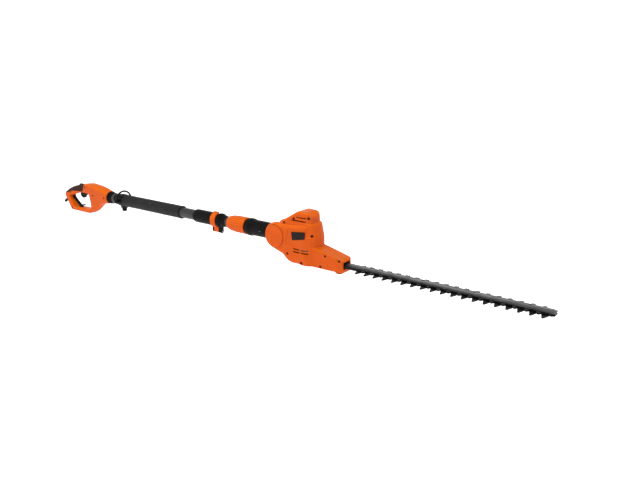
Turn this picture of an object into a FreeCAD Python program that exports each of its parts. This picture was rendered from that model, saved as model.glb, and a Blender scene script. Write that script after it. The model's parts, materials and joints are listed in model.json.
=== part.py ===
"""Pole hedge trimmer: an electric trimming head on a telescopic pole with a D-handle.

Frame: millimetres, +Z up, +X along the pole from the handle to the blade, +Y to the far side.
The origin is the middle of the foot under the trimming head's nose, which the machine rests on.
"""
import FreeCAD, Part
import math
import os
import Sketcher
from FreeCAD import Placement, Rotation, Vector

DOC = FreeCAD.newDocument("PoleHedgeTrimmer")

SIZES = [
    # pole
    ("axis_height", 71, "pole axis above the foot"),
    ("outer_tube_radius", 16, "rear tube, outside"),
    ("outer_tube_bore", 14.9, "rear tube, inside"),
    ("outer_tube_rear", -1030, "rear tube, end inside the handle"),
    ("outer_tube_front", -441, "rear tube, end inside the clamp"),
    ("slim_tube_radius", 14, "sliding tube, outside"),
    ("slim_tube_bore", 12.6, "sliding tube, inside"),
    ("slim_tube_rear", -970, "sliding tube, hidden end"),
    ("slim_tube_front", -334, "sliding tube, end in the spigot"),
    ("slide_gap", 0.35, "clearance of sliding and turning round faces"),
    ("grip_rear", -883, "foam grip, rear end"),
    ("grip_front", -608, "foam grip, front end"),
    ("grip_radius", 20.2, "foam grip, outside"),
    # strap fitting
    ("strap_station", -896, "strap ring's plane"),
    ("strap_flange", 12, "half length of the strap flange"),
    ("strap_sleeve_rear", -930, "strap clamp, rear end"),
    ("ring_radius", 30, "strap ring, centre line"),
    ("ring_wire", 2.9, "strap ring, wire radius"),
    ("knob_radius", 8, "strap clamp knob"),
    ("knob_low", 34, "strap clamp knob, lowest point"),
    # telescopic clamp
    ("clamp_rear", -549, "telescopic clamp, rear end"),
    ("clamp_front", -418, "telescopic clamp, front end"),
    ("clamp_radius", 20, "telescopic clamp, rear collar"),
    ("lever_rear", -468, "clamp lever, rear face"),
    ("lever_width", 18.5, "clamp lever, length along the pole"),
    ("lever_seat", 18.4, "clamp body under the lever"),
    ("lever_inside", 19.6, "clamp lever, inside radius"),
    ("lever_outside", 23.4, "clamp lever, outside radius"),
    ("lever_pin_side", -2, "lever pin, sideways"),
    ("lever_pin_up", 38, "lever pin, height"),
    ("lever_pin_radius", 1.8, "lever pin"),
    ("hub_radius", 21.5, "telescopic clamp, front hub"),
    # head coupling
    ("nut_rear", -406, "coupling nut, rear end"),
    ("nut_front", -336, "coupling nut, front end"),
    ("nut_rear_radius", 18, "coupling nut, rear"),
    ("nut_front_radius", 24.6, "coupling nut, front"),
    ("thread_radius", 16.5, "threaded spigot"),
    ("neck_rear", -330, "neck flange, rear face"),
    ("neck_front", -249, "neck, end at the joint"),
    ("neck_flange_radius", 25.2, "neck flange"),
    ("neck_radius", 22.4, "neck"),
    # tilting joint
    ("pivot_along", -208, "tilt axis"),
    ("cheek_radius", 37, "cheeks round the tilt axis"),
    ("cheek_half", 37, "half width over the cheeks"),
    ("slot_half", 19.5, "half width of the slot between the cheeks"),
    ("knuckle_half", 17.5, "half width of the knuckle"),
    ("knuckle_radius", 25, "knuckle drum"),
    ("pivot_pin_radius", 6, "tilt pin"),
    ("running_gap", 0.05, "radial clearance of a pin in its bore"),
    ("button_radius", 31, "round lock button"),
    # motor and gears
    ("motor_along", -111, "motor axis"),
    ("tower_radius", 36.5, "motor tower, straight part"),
    ("tower_neck", 30, "motor tower, top"),
    ("tower_top", 119, "motor tower, height of its top"),
    ("stator_radius", 28, "motor stator"),
    ("stator_bore", 23.6, "motor stator, inside"),
    ("rotor_radius", 23.2, "motor rotor"),
    ("shaft_radius", 4, "motor shaft"),
    ("gear_module", 1.25, "tooth size"),
    ("pinion_teeth", 10, "motor pinion"),
    ("wheel_teeth", 34, "crank gear"),
    ("mesh_gap", 0.1, "extra centre distance"),
    ("gear_low", 31, "gears, lower face"),
    ("gear_face", 7, "gears, face width"),
    ("crank_throw", 6.5, "eccentric offset, half the blade stroke"),
    ("eccentric_radius", 8, "eccentric"),
    ("plate_low", 41, "gearbox plate, lower face"),
    ("plate_thick", 4.5, "gearbox plate"),
    # nose and blades
    ("hood_half", 29, "half width of the hood"),
    ("nose_half", 26, "half width of the nose"),
    ("nose_tip_half", 23, "half width of the nose at its front"),
    ("nose_front", 6, "front face of the nose"),
    ("wall", 3, "shell wall"),
    ("blade_tip", 541, "free end of the guide bar"),
    ("bar_rear", -60, "hidden end of the guide bar"),
    ("bar_half", 11, "half width of the guide bar"),
    ("rib_half", 6.5, "half width of the guide bar's rib"),
    ("bar_depth", 4.6, "guide bar, height over its rib"),
    ("strip_half", 14.5, "half width of the blade strips"),
    ("strip_thick", 1.8, "blade thickness"),
    ("comb_low", 15.6, "guard comb, lower face"),
    ("tooth_pitch", 26, "tooth spacing"),
    ("tooth_count", 19, "long teeth a side"),
    ("near_tooth", 54, "first long tooth, near side"),
    ("far_tooth", 41, "first long tooth, far side"),
    ("long_tooth", 35.5, "reach of the long teeth"),
    ("short_tooth", 24, "reach of the cutting teeth"),
    ("bolt_radius", 2.5, "blade bolt"),
    ("spacer_radius", 4, "bush round a blade bolt"),
    ("bolt_rear", -45, "first blade bolt"),
    # handle
    ("handle_half", 21, "half width of the handle body"),
    ("loop_half", 15, "half width of the handle loop"),
    ("handle_wall", 2.5, "handle shell wall"),
    ("sleeve_flange", -960.8, "sleeve at the handle's mouth, flange"),
    ("trigger_along", -1096, "trigger pivot"),
    ("trigger_up", 80, "trigger pivot, height"),
    ("trigger_half", 5.5, "half width of the trigger"),
    ("lock_along", -1129, "lock-off button"),
    ("screw_radius", 1.65, "case screw"),
    ("screw_head", 3.4, "case screw head"),
]


class Size:
    """A number together with the spreadsheet expression that it stands for."""

    def __init__(self, value, text):
        self.value = float(value)
        self.text = text

    def __add__(self, other):
        other = sized(other)
        return Size(self.value + other.value, f"({self.text} + {other.text})")

    def __sub__(self, other):
        other = sized(other)
        return Size(self.value - other.value, f"({self.text} - {other.text})")

    def __mul__(self, other):
        other = sized(other)
        return Size(self.value * other.value, f"({self.text} * {other.text})")

    def __truediv__(self, other):
        other = sized(other)
        return Size(self.value / other.value, f"({self.text} / {other.text})")

    def __neg__(self):
        return Size(-self.value, f"(0 - {self.text})")

    def __rsub__(self, other):
        return sized(other) - self

    __radd__ = __add__
    __rmul__ = __mul__


def sized(number):
    """A plain number as a Size, so that both kinds can be mixed."""
    return number if isinstance(number, Size) else Size(number, f"({float(number)})")


class Sheet:
    """The driving dimensions: each is a cell of the spreadsheet and an attribute here."""

    def __init__(self, rows):
        cells = DOC.addObject("Spreadsheet::Sheet", "dims")
        for row, (alias, value, meaning) in enumerate(rows, 1):
            cells.set(f"A{row}", meaning)
            cells.set(f"B{row}", str(value))
            cells.setAlias(f"B{row}", alias)
            setattr(self, alias, Size(value, f"dims.{alias}"))
        DOC.recompute()


D = Sheet(SIZES)
UPRIGHT = Rotation()
WIRE_SIDES = 8
NUT_CORNER = 4.4
NUT_HEIGHT = 3
TURN = {
    "X": Rotation(),
    "Y": Rotation(Vector(0, 0, 1), 90),
    "Z": Rotation(Vector(0, 1, 0), -90),
}
PARTS = []


# ---------------------------------------------------------------- building blocks
def placed(part, at, turn=UPRIGHT):
    """Bind a part's position to the sheet."""
    part.Placement = Placement(Vector(), turn)
    for letter, size in zip("xyz", at):
        part.setExpression("Placement.Base." + letter, sized(size).text)
    return part


def kept(part, label):
    """Name a finished sub-part and list it for export."""
    part.Label = label
    PARTS.append(part)
    return part


def outline_sketch(body, name, role, corners):
    """A closed outline of straight lines, each corner bound to the sheet."""
    sketch = body.newObject("Sketcher::SketchObject", name)
    plane = [item for item in body.Origin.OriginFeatures if item.Role == role][0]
    sketch.AttachmentSupport = [(plane, "")]
    sketch.MapMode = "FlatFace"
    add_outline(sketch, corners)
    return sketch


def add_outline(sketch, corners):
    """Add one closed loop to a sketch."""
    corners = [(sized(u), sized(v)) for u, v in corners]
    first = sketch.GeometryCount
    count = len(corners)
    for index in range(count):
        start = corners[index]
        end = corners[(index + 1) % count]
        line = Part.LineSegment(
            Vector(start[0].value, start[1].value, 0), Vector(end[0].value, end[1].value, 0)
        )
        sketch.addGeometry(line, False)
    for index in range(count):
        following = first + (index + 1) % count
        sketch.addConstraint(Sketcher.Constraint("Coincident", first + index, 2, following, 1))
    for index, corner in enumerate(corners):
        for kind, size in zip(("DistanceX", "DistanceY"), corner):
            rule = Sketcher.Constraint(kind, -1, 1, first + index, 1, size.value)
            number = sketch.addConstraint(rule)
            sketch.setExpression(f"Constraints[{number}]", size.text)


def turned(name, outline, along="X", at=(0, 0, 0)):
    """A turned body. The outline is (station along the axis, radius)."""
    turn = TURN[along] if isinstance(along, str) else along
    body = DOC.addObject("PartDesign::Body", name)
    sketch = outline_sketch(body, name + "_outline", "XZ_Plane", outline)
    spin = body.newObject("PartDesign::Revolution", name + "_turn")
    spin.Profile = sketch
    spin.ReferenceAxis = (sketch, ["H_Axis"])
    spin.Angle = 360
    return placed(body, at, turn)


def sleeve(name, start, end, outside, inside, along="X", at=(0, 0, 0)):
    """A plain tube between two stations."""
    outline = [(start, inside), (end, inside), (end, outside), (start, outside)]
    return turned(name, outline, along, at)


def rod(name, start, end, radius, along="X", at=(0, 0, 0)):
    """A plain solid cylinder between two stations."""
    return sleeve(name, start, end, radius, 0, along, at)


def block(name, low, high):
    """A box between two corners."""
    box = DOC.addObject("Part::Box", name)
    for key, start, end in zip(("Length", "Width", "Height"), low, high):
        box.setExpression(key, (sized(end) - start).text)
    return placed(box, low)


def cut(name, base, *tools):
    """A base with other shapes cut away."""
    result = DOC.addObject("Part::Cut", name)
    result.Base = base
    result.Tool = tools[0] if len(tools) == 1 else joined(name + "_tools", *tools)
    return result


def joined(name, *shapes):
    """Several shapes made one; shapes that don't touch stay separate solids."""
    result = DOC.addObject("Part::MultiFuse", name)
    result.Shapes = list(shapes)
    return result


def shaped(name, shape):
    """A part whose shape comes from Part's own functions."""
    part = DOC.addObject("Part::Feature", name)
    part.Shape = shape
    return part


# ---------------------------------------------------------------- shape functions
def side_face(start, *moves):
    """A face in the XZ plane. A move is a point, or a pair of points for an arc."""
    def spot(pair):
        return Vector(pair[0], 0, pair[1])

    edges = []
    here = start
    for move in moves + (start,):
        if isinstance(move[0], tuple):
            middle, end = move
            edges.append(Part.Arc(spot(here), spot(middle), spot(end)).toShape())
        else:
            end = move
            if end == here:
                continue
            edges.append(Part.makeLine(spot(here), spot(end)))
        here = end
    return Part.Face(Part.Wire(edges))


def slab(face, half_width):
    """A side face given thickness, equally to both sides."""
    middle = face.copy()
    middle.translate(Vector(0, -half_width, 0))
    return middle.extrude(Vector(0, 2 * half_width, 0))


def rounded_slab(face, half_width, radius):
    """A slab with its two outlines rounded over."""
    solid = slab(face, half_width)
    rim = []
    for edge in solid.Edges:
        depths = [abs(vertex.Point.y) for vertex in edge.Vertexes]
        if min(depths) > half_width - 0.001:
            rim.append(edge)
    return solid.makeFillet(radius, rim)


def column(x, z_low, z_high, radius, top_radius=None):
    """An upright cylinder or cone on the centre plane."""
    if top_radius is None:
        return Part.makeCylinder(radius, z_high - z_low, Vector(x, 0, z_low))
    return Part.makeCone(radius, top_radius, z_high - z_low, Vector(x, 0, z_low))


def cross_pin(x, z, radius, y_low, y_high):
    """A cylinder across the machine."""
    return Part.makeCylinder(radius, y_high - y_low, Vector(x, y_low, z), Vector(0, 1, 0))


def box_shape(low, high):
    """A plain box shape between two corners."""
    size = [high[i] - low[i] for i in range(3)]
    return Part.makeBox(*size, Vector(*low))


def halves(solid):
    """The near half and the far half of a case."""
    reach = solid.BoundBox
    rear, front = reach.XMin - 1, reach.XMax + 1
    low, high = reach.ZMin - 1, reach.ZMax + 1
    near = box_shape((rear, reach.YMin - 1, low), (front, 0, high))
    far = box_shape((rear, 0, low), (front, reach.YMax + 1, high))
    return solid.common(near), solid.common(far)


def case_screw(x, z, face, length):
    """A screw across the case; its head lies just under the near face."""
    head_height = 2.4
    sink = 1.2
    head = D.screw_head.value
    seat = sink - face
    body = cross_pin(x, z, D.screw_radius.value, seat + head_height, seat + length)
    cap = cross_pin(x, z, head, seat, seat + head_height)
    socket = box_shape((x - 0.5, seat, z - head * 0.6), (x + 0.5, seat + 1, z + head * 0.6))
    other = box_shape((x - head * 0.6, seat, z - 0.5), (x + head * 0.6, seat + 1, z + 0.5))
    return cap.fuse(body).cut(socket.fuse(other))


def screw_space(x, z, face, length):
    """The counterbore and hole that a case screw needs."""
    loose = 0.15
    seat = 1.2 - face
    recess = cross_pin(x, z, D.screw_head.value + loose, -face - 6, seat + 2.4)
    return recess.fuse(cross_pin(x, z, D.screw_radius.value, seat, seat + length + 0.5))


def coil_spring(radius, wire, length, turns):
    """A helical spring that stands on the XY plane, drawn from eight-sided wire."""
    pitch = (length - 2 * wire) / turns
    helix = Part.makeHelix(pitch, length - 2 * wire, radius)
    start = helix.Vertexes[0].Point
    corners = []
    for step in range(WIRE_SIDES + 1):
        turn = 2 * math.pi * step / WIRE_SIDES
        corners.append(start + Vector(wire * math.cos(turn), 0, wire * math.sin(turn)))
    spring = Part.Wire(helix).makePipeShell([Part.makePolygon(corners)], True, True)
    spring.translate(Vector(0, 0, wire))
    return spring


def wire_run(points, radius, bend):
    """A wire along straight runs joined by arcs."""
    corners = [Vector(*point) for point in points]
    edges = []
    here = corners[0]
    for before, corner, after in zip(corners, corners[1:], corners[2:]):
        inward = (before - corner).normalize()
        outward = (after - corner).normalize()
        half_turn = (math.pi - inward.getAngle(outward)) / 2
        setback = bend * math.tan(half_turn)
        first = corner + inward * setback
        last = corner + outward * setback
        bisector = (inward + outward).normalize()
        middle = corner + bisector * (bend / math.cos(half_turn) - bend)
        edges.append(Part.makeLine(here, first))
        edges.append(Part.Arc(first, middle, last).toShape())
        here = last
    edges.append(Part.makeLine(here, corners[-1]))
    path = Part.Wire(edges)
    heading = (corners[1] - corners[0]).normalize()
    ring = Part.Wire(Part.makeCircle(radius, corners[0], heading))
    return path.makePipeShell([ring], True, False)


def toothed_face(teeth, module, phase):
    """The outline of a spur gear, with straight-sided teeth."""
    pitch_radius = teeth * module / 2
    half_tooth = (math.pi * module / 2 - 0.45) / 2
    steps = (
        (pitch_radius - 1.1 * module, -1.1 * half_tooth),
        (pitch_radius, -half_tooth),
        (pitch_radius + 0.8 * module, -0.4 * half_tooth),
        (pitch_radius + 0.8 * module, 0.4 * half_tooth),
        (pitch_radius, half_tooth),
        (pitch_radius - 1.1 * module, 1.1 * half_tooth),
    )
    points = []
    for tooth in range(teeth):
        centre = 2 * math.pi * (tooth + phase) / teeth
        for radius, offset in steps:
            angle = centre + offset / radius
            points.append(Vector(radius * math.cos(angle), radius * math.sin(angle), 0))
    points.append(points[0])
    return Part.Face(Part.makePolygon(points))


# ---------------------------------------------------------------- handle
# Each screw: station, height, length. The third one also pins the pole in the handle.
HANDLE_SCREWS = [
    (-1082, 96, 20),
    (-1042, 70, 20),
    (-978, 70, 8),
    (-1181, 64, 20),
    (-1181, 9, 20),
]
STUB_ROOT = Vector(-1210, 0, 40)
STUB_LINE = Vector(-32, 0, -20).normalize()


def handle_outline():
    """The handle from the side, without its opening."""
    return side_face(
        (-963, 50),
        (-963, 92),
        ((-1035, 106.5), (-1119, 98)),
        ((-1170, 84), (-1207, 65)),
        ((-1215.5, 54), (-1211, 42)),
        (-1190, 8),
        ((-1184, 1.6), (-1174, 0)),
        (-1092, 0),
        ((-1050, 10.5), (-1019, 37)),
        ((-993, 46.5), (-963, 50)),
    )


def opening_outline():
    """The D opening for the hand."""
    return side_face(
        (-1166, 58),
        ((-1120, 70), (-1084, 70)),
        ((-1071, 66), (-1065, 52)),
        ((-1063, 40), (-1066, 26)),
        ((-1070, 18), (-1079, 15)),
        (-1160, 13),
        ((-1167, 14), (-1172, 21)),
        (-1188, 44),
        ((-1186, 53), (-1176, 56)),
    )


def handle_body_region():
    """The thick front part of the handle, from the side."""
    return side_face(
        (-963, 50),
        (-963, 92),
        ((-1027, 105.8), (-1092, 103)),
        ((-1068, 73), (-1060, 44)),
        ((-1060, 26), (-1064, 6)),
        ((-1040, 17), (-1019, 37)),
        ((-993, 46.5), (-963, 50)),
    )


def shrunk(face, distance):
    """A face with its outline moved inwards."""
    return face.makeOffset2D(-distance)


def handle_hollow():
    """The hollow of the thick part, and the hollow of the loop."""
    wall = D.handle_wall.value
    thick = slab(shrunk(handle_body_region(), wall + 1), D.handle_half.value - wall)
    outside = shrunk(handle_outline(), wall)
    inside = opening_outline().makeOffset2D(wall)
    return thick, slab(outside.cut(inside).Faces[0], D.loop_half.value - wall)


def handle_loop():
    """The loop with its D opening, as if it were solid."""
    ring = handle_outline().cut(opening_outline()).Faces[0]
    return rounded_slab(ring, D.loop_half.value, 5)


def overmould_region():
    """The part of the grip that the soft overmould covers, from the side."""
    return side_face((-1230, 55), (-1200, 61), (-1168, 71), (-1106, 76), (-1091, 112), (-1230, 112))


def trigger_slot():
    """The slot that the trigger comes down through."""
    half = D.trigger_half.value + 0.7
    return box_shape((-1139, -half, 48), (-1089, half, 77))


def lock_hole(loose):
    """The lock-off button's shaft space."""
    x = D.lock_along.value
    return box_shape((x - 6 - loose, -5 - loose, 86), (x + 6 + loose, 5 + loose, 110))


def hook_outline():
    """The cord hook: a slanted bar with a short toe, inside the opening."""
    return side_face(
        (-1188, 46.5),
        (-1182, 51),
        (-1149, 25),
        ((-1145, 22.5), (-1141, 22)),
        (-1121, 25),
        (-1120, 21),
        (-1136, 17),
        (-1136, 12),
        (-1150, 12),
        (-1150, 17),
    )


def make_handle():
    """Shells, overmould and everything fixed inside the handle."""
    thick_hollow, loop_hollow = handle_hollow()
    loop = handle_loop()
    thick = rounded_slab(handle_body_region(), D.handle_half.value, 6)
    case = thick.cut(thick_hollow).cut(loop_hollow).fuse(loop.cut(loop_hollow).cut(thick_hollow))
    skin = slab(overmould_region(), D.handle_half.value)
    deeper = slab(shrunk(handle_outline(), 2), D.loop_half.value - 1.8)
    cover = loop.cut(deeper).common(skin)
    hook = slab(hook_outline(), 4)
    stub_space = Part.makeCylinder(5.2, 60, STUB_ROOT - STUB_LINE * 8, STUB_LINE)
    tube_space = Part.makeCylinder(D.outer_tube_radius.value + 0.1, 90, Vector(-1032, 0, 71), Vector(1, 0, 0))
    mouth = Part.makeCylinder(18.7, 20, Vector(-975, 0, 71), Vector(1, 0, 0))
    pin_space = cross_pin(D.trigger_along.value, D.trigger_up.value, 2.02, -16, 16)
    posts = [cross_pin(x, z, 4.2, -22, 22) for x, z, length in HANDLE_SCREWS if length > 10]
    posts.append(cross_pin(D.trigger_along.value, D.trigger_up.value, 4, 6.5, 22))
    posts.append(cross_pin(D.trigger_along.value, D.trigger_up.value, 4, -22, -6.5))
    ribs = box_shape((-1024, -21, 40), (-1020, 21, 102)).fuse(box_shape((-990, -21, 40), (-986, 21, 102)))
    case = case.fuse(posts[0].fuse(posts[1:]).fuse(ribs).common(thick_hollow.fuse(loop_hollow)))
    for space in (cover, hook, stub_space, tube_space, mouth, pin_space, trigger_slot(), lock_hole(0.4)):
        case = case.cut(space)
    for x, z, length in HANDLE_SCREWS:
        case = case.cut(screw_space(x, z, handle_face(x), length))
    near, far = halves(case)
    kept(shaped("handle_shell_near", near), "handle_shell_near")
    kept(shaped("handle_shell_far", far), "handle_shell_far")
    cover = cover.cut(lock_hole(0.4))
    for x, z, length in HANDLE_SCREWS:
        cover = cover.cut(screw_space(x, z, handle_face(x), length))
    kept(shaped("grip_overmould", largest(cover)), "grip_overmould")
    screws = [case_screw(x, z, handle_face(x), length) for x, z, length in HANDLE_SCREWS]
    kept(shaped("handle_screws", Part.makeCompound(screws)), "handle_screws")
    kept(shaped("cord_hook", hook), "cord_hook")


def largest(shape):
    """The biggest solid of a shape."""
    return max(shape.Solids, key=lambda solid: solid.Volume)


def handle_face(x):
    """How far the near face stands from the centre plane at a station."""
    return D.handle_half.value if x > -1085 else D.loop_half.value


def make_handle_fittings():
    """Sleeve, inlet, switch, capacitor and wiring."""
    mouth = D.sleeve_flange
    front = mouth + 17
    bore = D.outer_tube_radius + 0.2
    outline = [(mouth - 12, bore), (front, bore), (front, bore + 0.6), (front - 5, 18.3), (mouth, 19.4)]
    outline += [(mouth, 21), (mouth - 1.8, 21), (mouth - 1.8, 18.5), (mouth - 12, 18.5)]
    kept(turned("handle_sleeve", outline, "X", (0, 0, D.axis_height)), "handle_sleeve")

    lean = Rotation(Vector(1, 0, 0), STUB_LINE)
    plug_outline = [(-6, 0), (32, 0), (32, 3.2), (34, 3.2), (34, 5), (3, 5), (0, 4.4), (-6, 4.4)]
    plug = turned("inlet_body", plug_outline, lean, tuple(STUB_ROOT))
    pins = []
    holes = []
    for side in (-1, 1):
        place = tuple(STUB_ROOT + Vector(0, side * 1.8, 0))
        profile = [(30, 0), (36, 0), (36, 0.6), (35.4, 0.9), (30, 0.9)]
        pins.append(turned(f"inlet_pin_{side + 1}", profile, lean, place))
        holes.append(rod(f"inlet_hole_{side + 1}", 30, 40, 0.9, lean, place))
    kept(joined("inlet_pins", *pins), "inlet_pins")
    kept(cut("inlet_plug", plug, *holes), "inlet_plug")

    kept(block("switch_block", (-1086, -9, 76), (-1066, 9, 91)), "switch_block")
    kept(rod("capacitor", -1054, -1036, 7, "X", (0, 0, 34)), "capacitor")
    run = [(-1203, 8, 46), (-1198, 8, 62), (-1164, 8, 82), (-1112, 8, 88), (-1086, 8, 88)]
    supply = wire_run(run, 1.5, 8)
    feed = wire_run([(-1066, 0, 84), (-1042, 0, 84), (-1033, 0, 74), (-1008, 0, 74)], 1.5, 4)
    kept(shaped("handle_wiring", Part.makeCompound([supply, feed])), "handle_wiring")


def make_controls():
    """Trigger, its pin, the lock-off button and its return spring."""
    pivot = (D.trigger_along.value, D.trigger_up.value)
    paddle = side_face(
        (-1091, 78),
        ((-1092, 85), (-1099, 86)),
        (-1124, 79),
        (-1133, 68),
        ((-1131, 56), (-1123, 50.5)),
        ((-1117, 50), (-1112, 54)),
        ((-1105, 61), (-1099, 66)),
    )
    blade = rounded_slab(paddle, D.trigger_half.value, 1.5)
    bore = D.lever_pin_radius.value + 0.2 + D.running_gap.value
    blade = blade.cut(cross_pin(*pivot, bore, -10, 10))
    kept(shaped("trigger", blade), "trigger")
    pin = rod("trigger_pin", -14, 14, D.lever_pin_radius + 0.2, "Y", (D.trigger_along, 0, D.trigger_up))
    kept(pin, "trigger_pin")

    x = D.lock_along.value
    cap = box_shape((x - 6, -5, 94), (x + 6, 5, 99.5))
    cap = cap.makeFillet(1.5, [edge for edge in cap.Edges if edge.BoundBox.ZMin > 99])
    stem = box_shape((x - 3, -3, 87), (x + 3, 3, 94))
    kept(shaped("lock_off_button", cap.fuse(stem).removeSplitter()), "lock_off_button")


def make_strap_fitting():
    """Strap clamp on the pole, its knob and the ring that the strap hooks into."""
    bore = D.outer_tube_radius + 0.1
    rear = D.strap_station - D.strap_flange
    front = D.strap_station + D.strap_flange
    outline = [(D.strap_sleeve_rear, bore), (front, bore), (front, 20.5), (rear, 20.5)]
    outline += [(rear, 18.5), (D.strap_sleeve_rear + 3, 18.5), (D.strap_sleeve_rear, 17)]
    collar = turned("strap_collar", outline, "X", (0, 0, D.axis_height))
    trunnion = [(18, 0), (35, 0), (35, 4.6), (33.2, 4.6), (33.2, 3), (26.5, 3), (25, 6), (18, 6)]
    middle = (D.strap_station, 0, D.axis_height)
    near = turned("strap_near_ear", [(0 - sized(a), r) for a, r in trunnion], "Y", middle)
    far = turned("strap_far_ear", trunnion, "Y", middle)
    lug = block("strap_lug", (rear + 3, -8, 44.6), (front - 3, 8, 54))
    bore_cut = rod("strap_bore", -960, -860, bore, "X", (0, 0, D.axis_height))
    screw_cut = rod("strap_screw_hole", 40, 56, 3.1, "Z", (D.strap_station, 0, 0))
    whole = joined("strap_body", collar, near, far, lug)
    kept(cut("strap_clamp", whole, bore_cut, screw_cut), "strap_clamp")

    low = D.knob_low
    knob = [(low, 0), (53, 0), (53, 2.8), (44, 2.8), (44, D.knob_radius - 1), (43, D.knob_radius)]
    knob += [(low + 2, D.knob_radius), (low, D.knob_radius - 2)]
    kept(turned("clamp_knob", knob, "Z", (D.strap_station, 0, 0)), "clamp_knob")

    ring = D.ring_radius.value
    wire = D.ring_wire.value
    centre = Vector(D.strap_station.value, 0, D.axis_height.value)
    hoop = Part.makeTorus(ring, wire, centre, Vector(1, 0, 0))
    upper = box_shape((centre.x - 9, -ring - 9, centre.z), (centre.x + 9, ring + 9, centre.z + ring + 9))
    bail = hoop.common(upper)
    for side in (-1, 1):
        middle = side * ring
        bail = bail.fuse(cross_pin(centre.x, centre.z, 5.4, middle - wire, middle + wire))
    bail = bail.cut(cross_pin(centre.x, centre.z, 3.35, -ring - 9, ring + 9))
    kept(shaped("strap_ring", bail.removeSplitter()), "strap_ring")


# ---------------------------------------------------------------- pole
def make_pole():
    """Both tubes, the grip and what guides one tube in the other."""
    centre = (0, 0, D.axis_height)
    rear = D.outer_tube_rear
    front = D.outer_tube_front
    tube = sleeve("tube_blank", rear, front, D.outer_tube_radius, D.outer_tube_bore, "X", centre)
    pin_hole = rod("tube_pin_hole", -20, -10, D.screw_radius + 0.05, "Y", (-978, 0, 70))
    kept(cut("rear_tube", tube, pin_hole), "rear_tube")
    bore = D.outer_tube_radius + 0.1
    edge = D.grip_radius - 1.5
    front = D.grip_front
    outline = [(D.grip_rear, bore), (front, bore), (front, edge), (front - 2, D.grip_radius)]
    outline += [(D.grip_rear + 2, D.grip_radius), (D.grip_rear, edge)]
    kept(turned("foam_grip", outline, "X", centre), "foam_grip")
    rear = D.slim_tube_rear
    bore = D.slim_tube_bore
    kept(sleeve("inner_tube", rear, D.slim_tube_front, D.slim_tube_radius, bore, "X", centre), "inner_tube")
    lip = D.outer_tube_bore - D.slide_gap
    guide = [(rear - 2, 10), (rear - 2, lip), (rear, lip), (rear, bore), (rear + 14, bore), (rear + 14, 10)]
    kept(turned("tube_guide", guide, "X", centre), "tube_guide")
    lead = [(-960, 0), (-299, 0), (-299, 3.5), (-690, 3.5), (-700, 9), (-955, 9), (-960, 5)]
    kept(turned("pole_lead", lead, "X", centre), "pole_lead")


def make_telescopic_clamp():
    """The clamp that locks the sliding tube, with its flip lever."""
    centre = (0, 0, D.axis_height)
    bore = D.outer_tube_radius + 0.1
    slide = D.slim_tube_radius + D.slide_gap
    front = D.clamp_front
    step = D.outer_tube_front + 0.2
    outline = [(D.clamp_rear, bore), (step, bore), (step, slide), (front, slide)]
    outline += [(front, 16), (front - 14, 17.6), (front - 20, D.hub_radius), (front - 28, D.hub_radius)]
    lever_rear = D.lever_rear
    outline += [(front - 29, D.lever_seat), (lever_rear - 4, D.lever_seat), (lever_rear - 5, D.clamp_radius)]
    outline += [(D.clamp_rear + 7, D.clamp_radius), (D.clamp_rear, D.clamp_radius - 3)]
    collar = turned("clamp_collar", outline, "X", centre)
    side = D.lever_pin_side
    up = D.lever_pin_up
    lugs = []
    lever_front = lever_rear + D.lever_width
    pin_rear = lever_rear - 6
    pin_front = lever_front + 13
    for index, (start, end) in enumerate(((pin_rear, lever_rear - 0.4), (lever_front + 0.4, pin_front))):
        lug = block(f"clamp_lug_{index}", (start, side - 5, up), (end, side + 5, 57))
        foot = rod(f"clamp_lug_foot_{index}", start, end, 5, "X", (0, side, up))
        lugs += [lug, foot]
    hollow = rod("clamp_bore", pin_rear - 1, pin_front + 1, bore, "X", centre)
    eye = rod("clamp_pin_hole", pin_rear - 1, pin_front + 1, D.lever_pin_radius, "X", (0, side, up))
    legs = cut("clamp_legs", joined("clamp_lugs", *lugs), hollow, eye)
    kept(joined("tube_clamp", collar, legs), "tube_clamp")
    kept(rod("lever_pin", pin_rear, pin_front, D.lever_pin_radius, "X", (0, side, up)), "lever_pin")

    x = D.lever_rear.value
    width = D.lever_width.value
    axis = Vector(x, 0, D.axis_height.value)
    ring = Part.makeCylinder(D.lever_outside.value, width, axis, Vector(1, 0, 0))
    near_side = box_shape((x - 1, -40, 30), (x + width + 1, -0.5, 110))
    band = ring.common(near_side)
    pin = Vector(x, side.value, up.value)
    boss = Part.makeCylinder(4.4, width, pin, Vector(1, 0, 0))
    web = box_shape((x, side.value - 4.4, up.value), (x + width, side.value + 3.4, up.value + 13))
    lip = box_shape((x, -6, axis.z + 21), (x + width, -0.5, axis.z + 25.5))
    lip = lip.makeFillet(1.2, lip.Edges)
    lever = band.fuse([boss, web, lip])
    along = Vector(1, 0, 0)
    lever = lever.cut(Part.makeCylinder(D.lever_inside.value, width + 2, axis - along, along))
    bore = D.lever_pin_radius.value + D.running_gap.value
    lever = lever.cut(Part.makeCylinder(bore, width + 2, pin - along, along))
    kept(shaped("lock_lever", largest(lever)), "lock_lever")


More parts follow.
